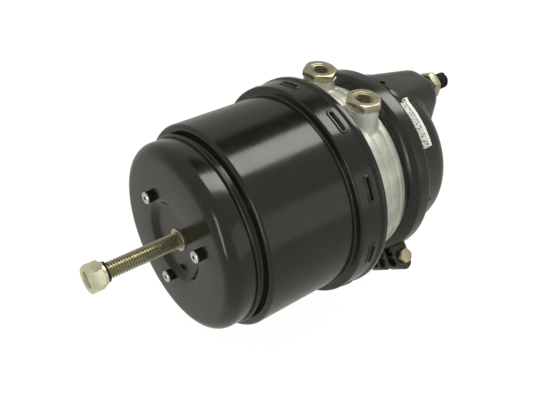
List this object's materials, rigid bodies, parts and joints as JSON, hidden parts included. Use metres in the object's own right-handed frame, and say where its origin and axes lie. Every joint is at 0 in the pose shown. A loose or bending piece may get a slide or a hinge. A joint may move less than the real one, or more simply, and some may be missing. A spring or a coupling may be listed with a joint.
{
  "type": "air brake chamber",
  "caption": "Spring brake chamber with diaphragm service side, spring piston side, band clamp, two air ports, release bolt and two mounting studs.",
  "frame": {"origin": "centre of the mounting face, midway between the two studs", "axes": "+X along the chamber's axis out of the mounting face towards the brake; +Z towards the side of the two air ports, with the studs on the Z line; +Y completes the frame"},
  "size_m": [0.4, 0.2034, 0.2034],
  "materials": {
    "black_paint": "satin black paint",
    "black_gloss_paint": "gloss black paint",
    "black_stud": "black phosphate",
    "black_screw": "black oxide with worn bright faces",
    "yellow_zinc": "pale yellow zinc plating",
    "soft_aluminium": "plain",
    "cast_aluminium": "as cast, blasted",
    "piston_aluminium": "die cast",
    "grey_plastic": "moulded",
    "brass_bush": "turned",
    "black_rubber": "moulded",
    "guide_plastic": "moulded",
    "ground_steel": "ground or plated",
    "dark_steel": "oiled",
    "spring_paint": "epoxy coated"
  },
  "bodies": {
    "housing": {"service_housing": "black_paint", "mounting_studs": "black_stud", "mounting_nuts": "yellow_zinc", "nose_seal": "black_rubber", "clamp_band": "black_paint", "clamp_bolt": "yellow_zinc", "clamp_nut": "yellow_zinc", "flange_housing": "cast_aluminium", "service_port_fitting": "yellow_zinc", "parking_port_fitting": "yellow_zinc", "port_washers": "soft_aluminium", "spring_housing": "black_gloss_paint", "end_cap": "black_gloss_paint", "cap_lock_ring": "black_gloss_paint", "cap_screws": "black_screw", "spring_seat": "grey_plastic", "release_bush": "brass_bush", "flange_seal_ring": "black_rubber", "tube_seal_rings": "black_rubber", "tube_bearing": "guide_plastic", "power_spring": "spring_paint", "service_diaphragm": "black_rubber", "return_spring": "spring_paint"},
    "piston": {"power_piston": "piston_aluminium", "push_tube": "ground_steel", "tube_end_plug": "ground_steel", "piston_seal": "black_rubber", "piston_guide_ring": "guide_plastic"},
    "bolt_carrier": {"thrust_washer": "ground_steel"},
    "release_bolt": {"release_bolt": "yellow_zinc", "release_nut": "yellow_zinc", "nut_pin": "ground_steel", "bolt_ring": "dark_steel"},
    "rod": {"push_rod": "ground_steel", "push_plate": "ground_steel", "rod_boot": "black_rubber"}
  },
  "joints": [
    {"name": "piston_slide", "type": "slide", "parent": "housing", "child": "piston", "axis": [1, 0, 0], "range_m": [0, 0.064], "deforming": ["power_spring"]},
    {"name": "bolt_slide", "type": "slide", "parent": "housing", "child": "bolt_carrier", "axis": [1, 0, 0], "range_m": [0, 0.064]},
    {"name": "bolt_turn", "type": "hinge", "parent": "bolt_carrier", "child": "release_bolt", "pos_m": [-0.3, 0, 0], "axis": [1, 0, 0], "range_deg": [0, 9974.03]},
    {"name": "rod_slide", "type": "slide", "parent": "housing", "child": "rod", "axis": [1, 0, 0], "range_m": [0, 0.064], "deforming": ["service_diaphragm", "return_spring", "rod_boot"]}
  ],
  "couplings": [
    {"joint": "bolt_slide", "follows": "piston_slide", "ratio": 1},
    {"joint": "bolt_turn", "follows": "piston_slide", "rad_per_m": 2720},
    {"joint": "rod_slide", "follows": "piston_slide", "ratio": 1}
  ]
}
